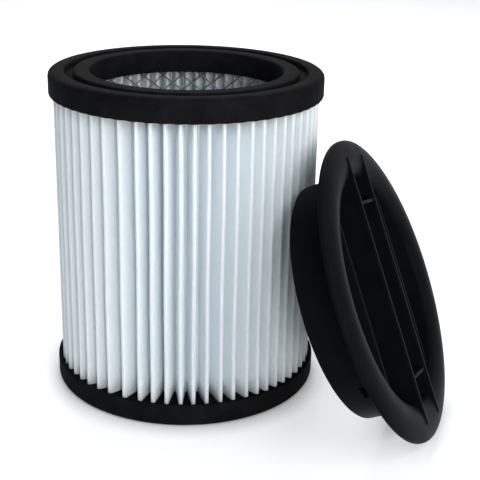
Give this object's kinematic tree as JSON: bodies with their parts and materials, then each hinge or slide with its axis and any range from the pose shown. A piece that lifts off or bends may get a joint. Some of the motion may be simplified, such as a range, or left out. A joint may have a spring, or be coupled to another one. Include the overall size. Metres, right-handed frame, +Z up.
{
  "type": "vacuum cleaner filter",
  "caption": "Pleated cartridge filter for a wet and dry vacuum cleaner: folded fleece on a metal support tube between moulded end caps, with its closing cap leaning beside it.",
  "frame": {"origin": "on the filter's axis at the bottom end face, which it stands on", "axes": "+Z up along the filter's axis; the closing cap leans on the +X side, turned a little towards -Y"},
  "size_m": [0.1955, 0.182, 0.155],
  "materials": {
    "fleece": "matte",
    "mesh_metal": "dull",
    "end_cap_rubber": "matte",
    "cap_plastic": "satin"
  },
  "bodies": {
    "root": {"pleated_media": "fleece", "support_tube": "mesh_metal", "top_end_cap": "end_cap_rubber", "bottom_end_cap": "end_cap_rubber", "closing_cap": "cap_plastic"}
  },
  "joints": []
}
